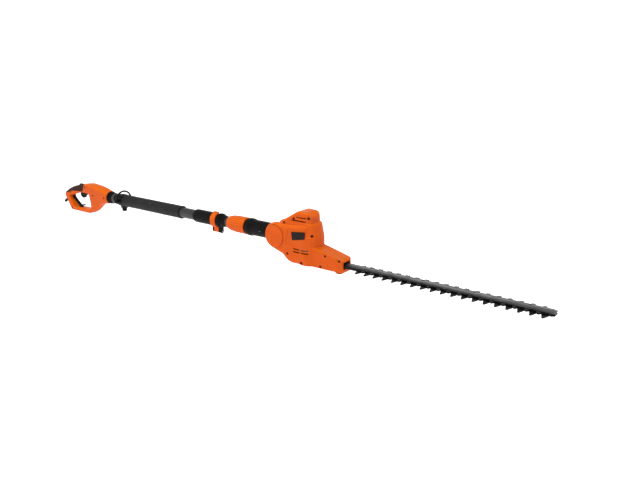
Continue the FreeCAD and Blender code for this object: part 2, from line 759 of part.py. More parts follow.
def make_head_coupling():
    """Threaded spigot, coupling nut, neck and the knuckle of the tilting joint."""
    centre = (0, 0, D.axis_height)
    bore = D.slim_tube_radius + 0.05
    start = D.nut_rear + 30
    end = D.neck_rear + 30
    stop = D.slim_tube_front + 0.1
    spigot = [(start, bore), (stop, bore), (stop, 10), (end, 10)]
    spigot += [(end, 15), (D.neck_rear, 15), (D.neck_rear, D.thread_radius), (start, D.thread_radius)]
    kept(turned("threaded_spigot", spigot, "X", centre), "threaded_spigot")

    slide = D.slim_tube_radius + 0.5
    loose = D.thread_radius + 0.4
    rear = D.nut_rear
    nut = [(rear, slide), (start - 4, slide), (start - 4, loose), (D.nut_front, loose)]
    wide = D.nut_front_radius
    nut += [(D.nut_front, wide - 1.5), (D.nut_front - 3, wide), (D.nut_front - 30, wide - 0.4)]
    small = D.nut_rear_radius
    nut += [(rear + 10, small + 3.6), (rear + 3, small + 1), (rear, small - 1)]
    kept(turned("coupling_nut", nut, "X", centre), "coupling_nut")

    rear = D.neck_rear + 0.1
    radius = D.neck_radius
    flange = D.neck_flange_radius
    socket = end + 2
    neck = [(rear, 15.1), (socket, 15.1), (socket, 18), (D.neck_front, 18), (D.neck_front, radius)]
    neck += [(rear + 24, radius), (rear + 19, radius + 0.8), (rear + 15, flange - 0.4)]
    neck += [(rear + 2, flange), (rear, flange - 1.5)]
    kept(turned("neck_sleeve", neck, "X", centre), "neck_sleeve")

    half = D.knuckle_half
    pivot = (D.pivot_along, 0, D.axis_height)
    drum = rod("knuckle_drum", -half, half, D.knuckle_radius, "Y", pivot)
    low = (D.neck_front + 0.2, -half, D.axis_height - 20)
    tongue = block("knuckle_tongue", low, (D.pivot_along, half, D.axis_height + 20))
    tail = rod("knuckle_tail", socket + 2, D.neck_front + 1, 17.95, "X", centre)
    eye = rod("knuckle_eye", -40, 40, D.pivot_pin_radius + D.running_gap, "Y", pivot)
    kept(cut("pivot_knuckle", joined("knuckle_body", drum, tongue, tail), eye), "pivot_knuckle")
    make_detent()


def make_detent():
    """The notched plate that the lock button's pawl drops into."""
    x = D.pivot_along.value
    z = D.axis_height.value
    outer = 24
    plate = cross_pin(x, z, outer, -19.1, -D.knuckle_half.value)
    for step in range(7):
        angle = math.radians(135 + 22.5 * step)
        plate = plate.cut(cross_pin(x + outer * math.cos(angle), z + outer * math.sin(angle), 2, -30, 0))
    plate = plate.cut(cross_pin(x, z, D.pivot_pin_radius.value + 0.3, -30, 0))
    kept(shaped("detent_plate", plate), "detent_plate")


# ---------------------------------------------------------------- trimming head
# Each screw: station, height, distance of the face from the centre plane, length.
HEAD_SCREWS = [
    (-147, 128, 28.5, 33),
    (-101, 133, 25, 30),
    (-88.5, 88, 26, 5),
    (-47, 41, 25, 30),
    (-4, 34.4, 22, 26),
    (-163, 30, 37, 42),
    (-117, 11, 37, 42),
    (-62, 9.5, 26, 30),
    (-180, 112, 28.5, 33),
]


def cheek_outline():
    """The wide rear part of the head, from the side."""
    x = D.pivot_along.value
    z = D.axis_height.value
    r = D.cheek_radius.value
    return side_face(
        (x, z + r),
        ((x - r, z), (x - 14, z - 34.25)),
        (-181, 23.5),
        ((-165, 9.5), (-148, 4.5)),
        (-99, 3.2),
        (-99, 115.5),
        (-162, 108),
    )


def hood_outline():
    """The narrower hood over the motor, from the side."""
    return side_face(
        (-206, 106),
        (-144, 144),
        ((-138, 147), (-130, 148.2)),
        (-113, 147.8),
        ((-101, 143), (-96, 133)),
        (-91, 88),
        (-190, 88),
    )


def plan_prism(rear, root, bend, tip, front, radius):
    """A block seen from above: straight sides, a taper from the bend, rounded front corners."""
    diagonal = radius * (1 - math.sqrt(0.5))

    def spot(x, y):
        return Vector(x, y, 0)

    near_corner = Part.Arc(
        spot(front - radius, -tip), spot(front - diagonal, diagonal - tip), spot(front, radius - tip)
    )
    far_corner = Part.Arc(
        spot(front, tip - radius), spot(front - diagonal, tip - diagonal), spot(front - radius, tip)
    )
    edges = [
        Part.makeLine(spot(rear, -root), spot(bend, -root)),
        Part.makeLine(spot(bend, -root), spot(front - radius, -tip)),
        near_corner.toShape(),
        Part.makeLine(spot(front, radius - tip), spot(front, tip - radius)),
        far_corner.toShape(),
        Part.makeLine(spot(front - radius, tip), spot(bend, root)),
        Part.makeLine(spot(bend, root), spot(rear, root)),
        Part.makeLine(spot(rear, root), spot(rear, -root)),
    ]
    return Part.Face(Part.Wire(edges)).extrude(Vector(0, 0, 200))


def hood_plan(inset):
    """The hood from above: its front corners are well rounded."""
    half = D.hood_half.value - inset
    return plan_prism(-230, half, -140, half, -92 - inset, 20)


def nose_plan(inset):
    """The nose from above: it narrows towards a front with rounded corners."""
    root = D.nose_half.value - inset
    tip = D.nose_tip_half.value - inset
    return plan_prism(-120, root, -60, tip, D.nose_front.value - inset, 8)


def nose_outline():
    """The nose that the blade comes out of, from the side."""
    return side_face(
        (-111, 63),
        (-74, 55),
        (-4, 38.5),
        ((3.5, 35.5), (6, 29)),
        (6, 13),
        ((4.6, 4.5), (1.5, 0)),
        (-13, 0),
        (-17, 3.4),
        (-111, 3.4),
    )


def head_solid():
    """The whole head as if it were solid."""
    motor = D.motor_along.value
    top = D.tower_top.value
    tower = column(motor, 5, 80, D.tower_radius.value)
    cone = column(motor, 80, top, D.tower_radius.value, D.tower_neck.value)
    cone = cone.makeFillet(3, [edge for edge in cone.Edges if edge.BoundBox.ZMin > top - 1])
    cheeks = rounded_slab(cheek_outline(), D.cheek_half.value, 10)
    hood = rounded_slab(hood_outline(), D.hood_half.value, 7).common(hood_plan(0))
    nose = rounded_slab(nose_outline(), D.nose_half.value, 3).common(nose_plan(0))
    return cheeks.fuse([tower, cone, hood, nose]).removeSplitter()


def head_cavity():
    """The hollow inside the head."""
    wall = D.wall.value
    motor = D.motor_along.value
    top = D.tower_top.value - wall
    tower = column(motor, 5 + wall, 79, D.tower_radius.value - wall)
    cone = column(motor, 79, top, D.tower_radius.value - wall, D.tower_neck.value - wall)
    cheeks = rounded_slab(shrunk(cheek_outline(), wall), D.cheek_half.value - wall, 10 - wall)
    bridge = box_shape((-140, -26, 20), (motor + 5, 26, 100))
    hood = rounded_slab(shrunk(hood_outline(), wall), D.hood_half.value - wall, 7 - wall)
    hood = hood.common(hood_plan(wall))
    link = box_shape((-172, -24, 92), (-104, 24, 120))
    nose = slab(shrunk(nose_outline(), wall), D.nose_half.value - wall).common(nose_plan(wall))
    hollow = cheeks.fuse([tower, cone, bridge, hood, link, nose])
    return hollow.cut(box_shape((-260, -40, 0), (-179, 40, 160)))


def joint_space():
    """What the knuckle and neck need while the head tilts."""
    x = D.pivot_along.value
    z = D.axis_height.value
    slot = box_shape((-260, -D.slot_half.value, -10), (-182, D.slot_half.value, 160))
    wide = box_shape((-260, -23, -10), (-183, 23, z))
    wide = wide.cut(cross_pin(x, z, D.cheek_radius.value + 0.5, -40, 40))
    button = cross_pin(x, z, D.button_radius.value + 0.35, -50, -31)
    groove = cross_pin(x, z, 14.6, -32, -22).cut(cross_pin(x, z, 10.4, -33, -21))
    pin = cross_pin(x, z, D.pivot_pin_radius.value, -29, 33.5)
    return slot.fuse([wide, button, groove, pin])


def vent_spaces():
    """Cooling slots in both sides of the case."""
    slots = []
    for x, z, length in ((-139, 131, 33), (-156, 121.5, 50)):
        slots.append(box_shape((x, -40, z), (x + length, 40, z + 3)))
    for z in (45, 37.5):
        for x in (-144, -118):
            slots.append(box_shape((x, -40, z), (x + 23, 40, z + 3.2)))
    return slots[0].fuse(slots[1:])


def make_head_case():
    """Both halves of the head's case, its screws and the blank badge."""
    solid = head_solid()
    hollow = head_cavity()
    posts = []
    for x, z, face, length in HEAD_SCREWS:
        far_end = face if length > 10 else length - face
        posts.append(cross_pin(x, z, 3.6, -face, far_end))
    inside = posts[0].fuse(posts[1:]).common(hollow)
    case = solid.cut(hollow).fuse(inside)
    badge = side_face((-149, 93), (-104, 98), (-104, 79), (-146, 70)).extrude(Vector(0, 1.9, 0))
    badge.translate(Vector(0, -37.9, 0))
    badge = badge.makeFillet(3, [edge for edge in badge.Edges if edge.BoundBox.YLength > 1])
    blade_mouth = box_shape((-6, -15.4, 11), (12, 15.4, 29.5))
    for space in (joint_space(), vent_spaces(), badge, blade_mouth):
        case = case.cut(space)
    for x, z, face, length in HEAD_SCREWS:
        case = case.cut(screw_space(x, z, face, length))
    near, far = halves(case)
    kept(shaped("head_shell_near", largest(near)), "head_shell_near")
    kept(shaped("head_shell_far", largest(far)), "head_shell_far")
    screws = [case_screw(*place) for place in HEAD_SCREWS]
    kept(shaped("head_screws", Part.makeCompound(screws)), "head_screws")
    kept(shaped("badge_plate", badge), "badge_plate")


def make_tilt_lock():
    """Tilt pin, lock button and its return spring."""
    pivot = (D.pivot_along, 0, D.axis_height)
    kept(rod("pivot_pin", -29, 33.5, D.pivot_pin_radius, "Y", pivot), "pivot_pin")
    radius = D.button_radius
    disc = [(-39.5, 0), (-35, 0), (-35, radius), (-38, radius), (-39.5, radius - 2)]
    kept(turned("pivot_button", disc, "Y", pivot), "pivot_button")
    spring = coil_spring(12.5, 0.8, 7.4, 3)
    part = shaped("button_spring", spring)
    seat = Vector(D.pivot_along.value, -33.3, D.axis_height.value)
    part.Placement = Placement(seat, Rotation(Vector(1, 0, 0), -90))
    kept(part, "button_spring")


def make_motor():
    """Stator, rotor, fan, bearings and brushes, all on the motor's axis."""
    centre = (D.motor_along, 0, 0)
    kept(sleeve("motor_stator", 57.5, 94, D.stator_radius, D.stator_bore, "Z", centre), "motor_stator")
    shaft = D.shaft_radius
    rotor = [(59, shaft), (59, 14), (62, D.rotor_radius), (88, D.rotor_radius), (92, 14), (97, 14)]
    rotor += [(97, 11), (108, 11), (108, shaft)]
    kept(turned("motor_rotor", rotor, "Z", centre), "motor_rotor")
    kept(rod("motor_shaft", 31, 116, shaft, "Z", centre), "motor_shaft")
    bearing_bore = shaft + D.running_gap
    lower = sleeve("lower_bearing", 41, 46, 9.5, bearing_bore, "Z", centre)
    upper = sleeve("upper_bearing", 110, 116, 9.5, bearing_bore, "Z", centre)
    kept(joined("motor_bearings", lower, upper), "motor_bearings")

    x = D.motor_along.value
    hub = column(x, 48, 56, 8)
    fan = hub.fuse(column(x, 48, 49.2, 27))
    for step in range(12):
        vane = box_shape((x + 7, -0.7, 49), (x + 26.5, 0.7, 56))
        vane.rotate(Vector(x, 0, 0), Vector(0, 0, 1), 30 * step)
        fan = fan.fuse(vane)
    fan = fan.cut(column(x, 40, 60, D.shaft_radius.value))
    kept(shaped("motor_fan", fan), "motor_fan")

    brushes = []
    for side in (-1, 1):
        inner, outer = sorted((side * 11.4, side * 22))
        brushes.append(box_shape((x - 3.5, inner, 99), (x + 3.5, outer, 106)))
    carrier = column(x, 109.5, 116, 24).cut(column(x, 100, 130, 9.5))
    kept(shaped("brush_carrier", carrier), "brush_carrier")
    kept(shaped("carbon_brushes", Part.makeCompound(brushes)), "carbon_brushes")
    wires = wire_run([(-176, 22, 60), (-150, 22, 60), (-150, 22, 103), (-136, 6, 106.5)], 1.6, 5)
    kept(shaped("head_wiring", wires), "head_wiring")


def gear_centre():
    """Where the crank gear's axis stands."""
    return D.motor_along + (D.pinion_teeth + D.wheel_teeth) * D.gear_module / 2 + D.mesh_gap


def make_gears():
    """Pinion, crank gear, eccentrics and the plate that carries their bearings."""
    module = D.gear_module.value
    low = D.gear_low.value
    face = D.gear_face.value
    pinion = toothed_face(int(D.pinion_teeth.value), module, 0).extrude(Vector(0, 0, face))
    pinion = pinion.cut(Part.makeCylinder(D.shaft_radius.value, face + 2, Vector(0, 0, -1)))
    part = shaped("motor_pinion", pinion)
    part.Placement = Placement(Vector(D.motor_along.value, 0, low), UPRIGHT)
    kept(part, "motor_pinion")

    centre = gear_centre()
    teeth = int(D.wheel_teeth.value)
    phase = 0.5 if teeth % 2 == 0 else 0
    wheel = toothed_face(teeth, module, phase).extrude(Vector(0, 0, face))
    wheel = wheel.cut(Part.makeCylinder(5, face + 2, Vector(0, 0, -1)))
    part = shaped("crank_gear", wheel)
    part.Placement = Placement(Vector(centre.value, 0, low), UPRIGHT)
    kept(part, "crank_gear")
    kept(rod("crank_shaft", 21.9, D.plate_low + D.plate_thick, 5, "Z", (centre, 0, 0)), "crank_shaft")
    discs = []
    for side, bottom in ((1, 26.4), (-1, 21.9)):
        disc = column(centre.value, bottom, bottom + 4.4, D.eccentric_radius.value)
        disc.translate(Vector(0, side * D.crank_throw.value, 0))
        discs.append(disc.cut(column(centre.value, 20, 40, 5)))
    kept(shaped("eccentrics", Part.makeCompound(discs)), "eccentrics")

    plate = block("plate_blank", (-139, -22, D.plate_low), (-71, 22, D.plate_low + D.plate_thick))
    bearing = rod("plate_bearing_hole", 30, 60, 9.55, "Z", (D.motor_along, 0, 0))
    journal = rod("plate_journal_hole", 30, 60, 5 + D.running_gap, "Z", (centre, 0, 0))
    kept(cut("gearbox_plate", plate, bearing, journal), "gearbox_plate")


# ---------------------------------------------------------------- blades
def blade_levels():
    """Lower faces of the comb, both blades and the bar, from the bottom up."""
    gap = 0.15
    comb = D.comb_low
    lower = comb + D.strip_thick + gap
    upper = lower + D.strip_thick + gap
    bar = upper + D.strip_thick + gap
    return comb, lower, upper, bar


def toothed_strip(name, low, strip, reach, half_root, half_tip, count, near, far):
    """A flat strip with a row of teeth on both sides."""
    body = DOC.addObject("PartDesign::Body", name)
    sketch = outline_sketch(body, name + "_strip", "XY_Plane", strip)
    pad = body.newObject("PartDesign::Pad", name + "_strip_pad")
    pad.Profile = sketch
    pad.setExpression("Length", D.strip_thick.text)
    for side, station, title in ((-1, near, "near"), (1, far, "far")):
        root = (D.strip_half - 1) * side
        tip = reach * side
        neck = (reach - 3) * side
        corners = [(station - half_root, root), (station - half_tip, neck), (station - half_tip / 2, tip)]
        corners += [(station + half_tip / 2, tip), (station + half_tip, neck), (station + half_root, root)]
        tooth = outline_sketch(body, f"{name}_{title}_tooth", "XY_Plane", corners)
        tooth_pad = body.newObject("PartDesign::Pad", f"{name}_{title}_pad")
        tooth_pad.Profile = tooth
        tooth_pad.setExpression("Length", D.strip_thick.text)
        DOC.recompute()
        row = body.newObject("PartDesign::LinearPattern", f"{name}_{title}_row")
        row.Originals = [tooth_pad]
        row.Direction = (sketch, ["H_Axis"])
        row.setExpression("Length", (D.tooth_pitch * (sized(count) - 1)).text)
        row.setExpression("Occurrences", sized(count).text)
        body.Tip = row
        DOC.recompute()
    return placed(body, (0, 0, low))


def bolt_stations():
    """Where the blade bolts stand."""
    return [D.bolt_rear, D.bolt_rear + 30] + [D.bolt_rear + 140 + 130 * step for step in range(4)]


def slots(name, half_length, radius, stations):
    """Long holes, one round each bolt."""
    shapes = []
    for index, x in enumerate(stations):
        low = (x - half_length, -radius, 10)
        shapes.append(block(f"{name}_gap_{index}", low, (x + half_length, radius, 30)))
        for end, offset in (("rear", -half_length), ("front", half_length)):
            shapes.append(rod(f"{name}_{end}_{index}", 10, 30, radius, "Z", (x + offset, 0, 0)))
    return joined(name, *shapes)


def make_cutter(name, low):
    """One moving blade: yoke, strip and short teeth."""
    centre = gear_centre()
    half = D.strip_half
    rear = centre - 12.5
    front = centre + 12.5
    wide = 19
    strip = [(rear, -wide), (front, -wide), (front + 8, -half), (532, -half), (536, -half + 4)]
    strip += [(536, half - 4), (532, half), (front + 8, half), (front, wide), (rear, wide)]
    count = D.tooth_count - 1
    first = D.near_tooth + D.tooth_pitch / 2
    blank = toothed_strip(name + "_blank", low, strip, D.short_tooth, 7.5, 3.4, count, first, first)
    throat = D.eccentric_radius + 0.3
    reach = D.crank_throw
    yoke = block(f"{name}_throat", (centre - throat, -reach, 10), (centre + throat, reach, 30))
    ends = [rod(f"{name}_throat_{end}", 10, 30, throat, "Z", (centre, end * reach, 0)) for end in (-1, 1)]
    travel = D.crank_throw + 0.4
    windows = slots(name + "_windows", travel, D.spacer_radius + 0.35, bolt_stations())
    kept(cut(name, blank, yoke, *ends, windows), name)


def make_blades():
    """Guard comb, two moving blades and the guide bar, with their bolts."""
    comb_low, lower_low, upper_low, bar_low = blade_levels()
    half = D.strip_half
    strip = [(D.bar_rear, -half), (D.blade_tip - 6, -half), (D.blade_tip, -half + 5)]
    strip += [(D.blade_tip, half - 5), (D.blade_tip - 6, half), (D.bar_rear, half)]
    count = D.tooth_count
    near = D.near_tooth
    comb = toothed_strip("comb_blank", comb_low, strip, D.long_tooth, 9, 3, count, near, D.far_tooth)
    stations = bolt_stations()
    hole_radius = D.bolt_radius + 0.05
    holes = [rod(f"comb_hole_{i}", 10, 30, hole_radius, "Z", (x, 0, 0)) for i, x in enumerate(stations)]
    kept(cut("guard_comb", comb, *holes), "guard_comb")
    make_cutter("lower_blade", lower_low)
    make_cutter("upper_blade", upper_low)

    flange = block("bar_flange", (D.bar_rear, -D.bar_half, bar_low), (D.blade_tip, D.bar_half, bar_low + 1.5))
    top = bar_low + D.bar_depth
    radius = D.bolt_radius
    rib = block("bar_rib", (D.bar_rear, -D.rib_half, bar_low + 1.5), (D.blade_tip - 4, D.rib_half, top))
    hole = [(10, 0), (top + 1, 0), (top + 1, radius + 1.75), (top, radius + 1.75)]
    hole += [(top - 1.7, radius + 0.05), (10, radius + 0.05)]
    holes = [turned(f"bar_hole_{i}", hole, "Z", (x, 0, 0)) for i, x in enumerate(stations)]
    kept(cut("guide_bar", joined("bar_blank", flange, rib), *holes), "guide_bar")

    profile = [(12.5, 0), (top - 0.2, 0), (top - 0.2, radius + 1.5), (top - 1.7, radius), (12.5, radius)]
    bolts = [turned(f"bolt_{i}", profile, "Z", (x, 0, 0)) for i, x in enumerate(stations)]
    kept(joined("blade_bolts", *bolts), "blade_bolts")
    comb_top = comb_low + D.strip_thick
    bushes = []
    for index, x in enumerate(stations):
        at = (x, 0, 0)
        bushes.append(sleeve(f"bush_{index}", comb_top, bar_low, D.spacer_radius, hole_radius, "Z", at))
    kept(joined("blade_spacers", *bushes), "blade_spacers")
    nuts = []
    corners = []
    for step in range(7):
        angle = math.radians(60 * step)
        corners.append(Vector(NUT_CORNER * math.cos(angle), NUT_CORNER * math.sin(angle), 0))
    for x in stations:
        nut = Part.Face(Part.makePolygon(corners)).extrude(Vector(0, 0, NUT_HEIGHT))
        nut = nut.cut(Part.makeCylinder(radius.value, 5, Vector(0, 0, -1)))
        nut.translate(Vector(x.value, 0, comb_low.value - NUT_HEIGHT))
        nuts.append(nut)
    kept(shaped("blade_nuts", Part.makeCompound(nuts)), "blade_nuts")

    frame = block("seal_blank", (-12.8, -18.6, 9), (-8, 18.6, 30.4))
    window = block("seal_window", (-14, -15.2, 12), (-6, 15.2, 28.5))
    kept(cut("blade_seal", frame, window), "blade_seal")


def check_and_export():
    """Stop on any failed object, then write each sub-part to its own file."""
    DOC.recompute()
    for item in DOC.Objects:
        if {"Invalid", "Error"} & set(item.State):
            raise RuntimeError(f"{item.Name} failed: {item.State}")
    os.makedirs("parts", exist_ok=True)
    for part in PARTS:
        if part.Shape.isNull() or not part.Shape.isValid():
            raise RuntimeError(f"{part.Label} has no valid shape")
        part.Shape.exportStep(f"parts/{part.Label}.step")
    print(len(PARTS), "sub-parts written")


make_handle()
make_handle_fittings()
make_controls()
make_strap_fitting()
make_pole()
make_telescopic_clamp()
make_head_coupling()
make_head_case()
make_tilt_lock()
make_motor()
make_gears()
make_blades()
check_and_export()
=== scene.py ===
"""Pole hedge trimmer: finished surfaces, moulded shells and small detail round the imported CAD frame.

Everything is in metres in the frame of the part: +X along the pole to the blade, +Z up, near side at -Y.
Lengths below are written in millimetres and multiplied by MM.
"""

import json
import math

import bmesh
import bpy
import numpy as np
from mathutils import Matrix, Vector

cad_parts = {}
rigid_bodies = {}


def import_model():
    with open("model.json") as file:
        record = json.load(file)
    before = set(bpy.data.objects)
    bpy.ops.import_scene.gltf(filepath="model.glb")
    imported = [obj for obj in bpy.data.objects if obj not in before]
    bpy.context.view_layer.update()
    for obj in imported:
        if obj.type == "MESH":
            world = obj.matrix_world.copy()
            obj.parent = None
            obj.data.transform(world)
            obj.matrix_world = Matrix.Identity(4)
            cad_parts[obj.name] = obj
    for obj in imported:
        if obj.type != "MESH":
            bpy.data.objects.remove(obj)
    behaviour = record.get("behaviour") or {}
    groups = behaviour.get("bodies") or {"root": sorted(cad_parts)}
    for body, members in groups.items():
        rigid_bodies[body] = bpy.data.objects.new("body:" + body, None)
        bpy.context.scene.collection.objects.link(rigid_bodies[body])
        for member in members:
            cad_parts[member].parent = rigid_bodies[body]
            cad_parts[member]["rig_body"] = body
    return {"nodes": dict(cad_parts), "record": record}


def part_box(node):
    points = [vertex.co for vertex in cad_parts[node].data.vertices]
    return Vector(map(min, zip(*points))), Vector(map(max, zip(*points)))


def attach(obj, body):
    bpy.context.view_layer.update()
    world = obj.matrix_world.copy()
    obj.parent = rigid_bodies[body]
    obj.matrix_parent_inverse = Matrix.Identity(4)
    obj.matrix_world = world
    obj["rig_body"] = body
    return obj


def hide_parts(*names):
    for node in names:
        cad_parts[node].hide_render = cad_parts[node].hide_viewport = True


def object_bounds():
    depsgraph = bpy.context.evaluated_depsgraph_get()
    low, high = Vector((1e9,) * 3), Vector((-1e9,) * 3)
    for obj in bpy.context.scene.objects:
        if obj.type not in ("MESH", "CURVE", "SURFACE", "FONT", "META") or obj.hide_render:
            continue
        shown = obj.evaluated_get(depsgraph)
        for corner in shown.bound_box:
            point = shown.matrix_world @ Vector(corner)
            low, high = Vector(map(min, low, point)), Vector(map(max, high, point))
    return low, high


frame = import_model()
CAD_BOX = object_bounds()
NODES = frame["nodes"]
MM = 0.001
WELD = 1e-6  # vertices nearer than this are the same, in metres
GROUND_WIDTH = 0.9  # the ground face along a cutting tooth, in millimetres
RAIL_EDGE_WIDTH = 1.4  # width of the bevel along the guide bar's rib, which is coloured light as a painted highlight
CORNER_STEPS = 4  # points that round one corner of an outline
SMOOTH_ROUNDS = 3  # passes that soften a moulded piece
BODY_HALF = 30  # the case's outer side faces stand further out than this
HOOD_HALF = 29  # half width of the hood, where the case's sides lean in to
FLOOR_DROP = 0.72  # how far the floor is under the machine, so that the head can tilt down
FLOOR_SIDES = 96


def middle(node):
    """Centre of a node's box."""
    low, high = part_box(node)
    return (low + high) / 2


AXIS = middle("inner_tube").z
PIVOT = middle("pivot_pin")
PIVOT.z = AXIS


# ---------------------------------------------------------------- materials
class Recipe:
    """A node material on a Principled shader, built up from small pattern steps."""

    def __init__(self, name, **sockets):
        self.material = bpy.data.materials.new(name)
        self.material.use_nodes = True
        self.tree = self.material.node_tree
        self.shader = self.tree.nodes["Principled BSDF"]
        for key, value in sockets.items():
            self.shader.inputs[key.replace("_", " ")].default_value = value
        self.place = self.add("ShaderNodeTexCoord").outputs["Object"]
        self.height = None

    def add(self, kind, **settings):
        node = self.tree.nodes.new(kind)
        for key, value in settings.items():
            setattr(node, key, value)
        return node

    def link(self, source, target):
        self.tree.links.new(source, target)

    def stretched(self, scale):
        """Coordinates squeezed or stretched along each axis."""
        mapping = self.add("ShaderNodeMapping")
        mapping.inputs["Scale"].default_value = scale
        self.link(self.place, mapping.inputs["Vector"])
        return mapping.outputs["Vector"]

    def noise(self, scale, detail=3.0, stretch=None):
        node = self.add("ShaderNodeTexNoise")
        node.inputs["Scale"].default_value = scale
        node.inputs["Detail"].default_value = detail
        self.link(self.stretched(stretch) if stretch else self.place, node.inputs["Vector"])
        return node.outputs["Fac"]

    def cells(self, scale):
        node = self.add("ShaderNodeTexVoronoi")
        node.inputs["Scale"].default_value = scale
        self.link(self.place, node.inputs["Vector"])
        return node.outputs["Distance"]

    def upward(self):
        """How far a face looks up."""
        split = self.add("ShaderNodeSeparateXYZ")
        self.link(self.add("ShaderNodeTexCoord").outputs["Normal"], split.inputs["Vector"])
        return self.ranged(split.outputs["Z"], 0, 1, 0.1, 0.75)

    def ranged(self, source, low, high, start=0.3, end=0.7):
        node = self.add("ShaderNodeMapRange")
        for key, value in (("From Min", start), ("From Max", end), ("To Min", low), ("To Max", high)):
            node.inputs[key].default_value = value
        self.link(source, node.inputs["Value"])
        return node.outputs["Result"]

    def mixed(self, factor, first, second):
        """A colour between two colours; either may be another mix."""
        node = self.add("ShaderNodeMix", data_type="RGBA")
        self.link(factor, node.inputs["Factor"])
        colour_inputs = [item for item in node.inputs if item.type == "RGBA"]
        for socket, colour in zip(colour_inputs, (first, second)):
            if isinstance(colour, tuple):
                socket.default_value = (*colour, 1)
            else:
                self.link(colour, socket)
        return [item for item in node.outputs if item.type == "RGBA"][0]

    def colour(self, source):
        self.link(source, self.shader.inputs["Base Color"])

    def roughness(self, source):
        self.link(source, self.shader.inputs["Roughness"])

    def bump(self, source, strength, distance):
        """Adds a layer of relief over the ones before it."""
        node = self.add("ShaderNodeBump")
        node.inputs["Strength"].default_value = strength
        node.inputs["Distance"].default_value = distance
        self.link(source, node.inputs["Height"])
        if self.height:
            self.link(self.height, node.inputs["Normal"])
        self.height = node.outputs["Normal"]
        self.link(self.height, self.shader.inputs["Normal"])


def moulded_plastic(name, colour, roughness, grain=900, relief=0.06, mottle=0.07, painted_top_light=None, **sockets):
    """Injection-moulded plastic with spark-eroded grain; the top-light colour, when given, is painted light:
    faces that look up take it, standing in for light falling from above.
    """
    recipe = Recipe(name, **sockets)
    darker = tuple(channel * (1 - mottle) for channel in colour)
    lighter = tuple(min(1, channel * (1 + mottle)) for channel in colour)
    patchy = recipe.mixed(recipe.ranged(recipe.noise(35, 5), 0, 1), darker, lighter)
    # painted top light: faces that look up blend into the lighter colour, as if lit from above
    if painted_top_light:
        patchy = recipe.mixed(recipe.upward(), patchy, painted_top_light)
    recipe.colour(patchy)
    recipe.roughness(recipe.ranged(recipe.noise(120, 4), roughness - 0.05, roughness + 0.06))
    recipe.bump(recipe.noise(grain, 2), relief, 0.3 * MM)
    return recipe.material


def rubber(name, colour):
    """Soft overmould: dull, with a pebbled grain."""
    recipe = Recipe(name, Specular_IOR_Level=0.08, Sheen_Weight=0.02, Sheen_Roughness=0.5)
    dusty = tuple(channel * 1.7 + 0.004 for channel in colour)
    recipe.colour(recipe.mixed(recipe.ranged(recipe.noise(60, 6), 0, 1), colour, dusty))
    recipe.roughness(recipe.ranged(recipe.noise(300, 3), 0.55, 0.7))
    recipe.bump(recipe.cells(1400), 0.35, 0.3 * MM)
    return recipe.material


def foam_skin(name):
    """Closed-cell foam: matt, pored, with a few pale scuffs."""
    recipe = Recipe(name, Specular_IOR_Level=0.12, Sheen_Weight=0.05, Sheen_Roughness=0.6)
    pores = recipe.ranged(recipe.noise(420, 4), 0, 1)
    base = recipe.mixed(pores, (0.008, 0.008, 0.0081), (0.018, 0.018, 0.0181))
    scuff = recipe.ranged(recipe.noise(90, 6, (0.35, 1, 1)), 0, 0.5, 0.66, 0.78)
    recipe.colour(recipe.mixed(scuff, base, (0.11, 0.11, 0.11)))
    recipe.roughness(recipe.ranged(recipe.noise(500, 2), 0.75, 0.92))
    recipe.bump(recipe.cells(900), 0.5, 0.35 * MM)
    recipe.bump(recipe.noise(150, 4), 0.25, 0.6 * MM)
    return recipe.material


def painted_tube(name, colour, metallic):
    """Drawn tube with fine lines along its length."""
    recipe = Recipe(name, Metallic=metallic, Specular_IOR_Level=0.25)
    lines = recipe.noise(420, 3, (0.02, 1, 1))
    darker = tuple(channel * 0.82 for channel in colour)
    lighter = tuple(channel * 1.15 for channel in colour)
    recipe.colour(recipe.mixed(recipe.ranged(lines, 0, 1), darker, lighter))
    recipe.roughness(recipe.ranged(recipe.noise(200, 4, (0.1, 1, 1)), 0.3, 0.42))
    recipe.bump(lines, 0.12, 0.1 * MM)
    return recipe.material


def milled_steel(name, colour, roughness, stretch=(1, 1, 1), stain=0.5):
    """Bare or oiled steel with grinding lines and darker stains."""
    recipe = Recipe(name, Metallic=1.0)
    lines = recipe.noise(900, 3, stretch)
    stained = tuple(channel * stain for channel in colour)
    recipe.colour(recipe.mixed(recipe.ranged(recipe.noise(45, 6), 0, 1, 0.35, 0.65), colour, stained))
    recipe.roughness(recipe.ranged(lines, roughness - 0.08, roughness + 0.1))
    recipe.bump(lines, 0.15, 0.1 * MM)
    return recipe.material


def felt(name):
    """Pressed felt."""
    recipe = Recipe(name, Specular_IOR_Level=0.2, Sheen_Weight=0.4)
    recipe.colour(recipe.mixed(recipe.noise(300, 6), (0.01, 0.01, 0.011), (0.05, 0.05, 0.052)))
    recipe.roughness(recipe.ranged(recipe.noise(500, 3), 0.85, 1.0))
    recipe.bump(recipe.noise(900, 6), 0.6, 0.4 * MM)
    return recipe.material


def copper_and_iron(name):
    """Stacked iron sheets seen edge on, with a lacquered copper tint between them."""
    recipe = Recipe(name, Metallic=0.9)
    stack = recipe.noise(900, 2, (0.05, 0.05, 1))
    recipe.colour(recipe.mixed(recipe.ranged(stack, 0, 1), (0.12, 0.11, 0.1), (0.5, 0.2, 0.09)))
    recipe.roughness(recipe.ranged(stack, 0.35, 0.6))
    recipe.bump(stack, 0.3, 0.3 * MM)
    return recipe.material


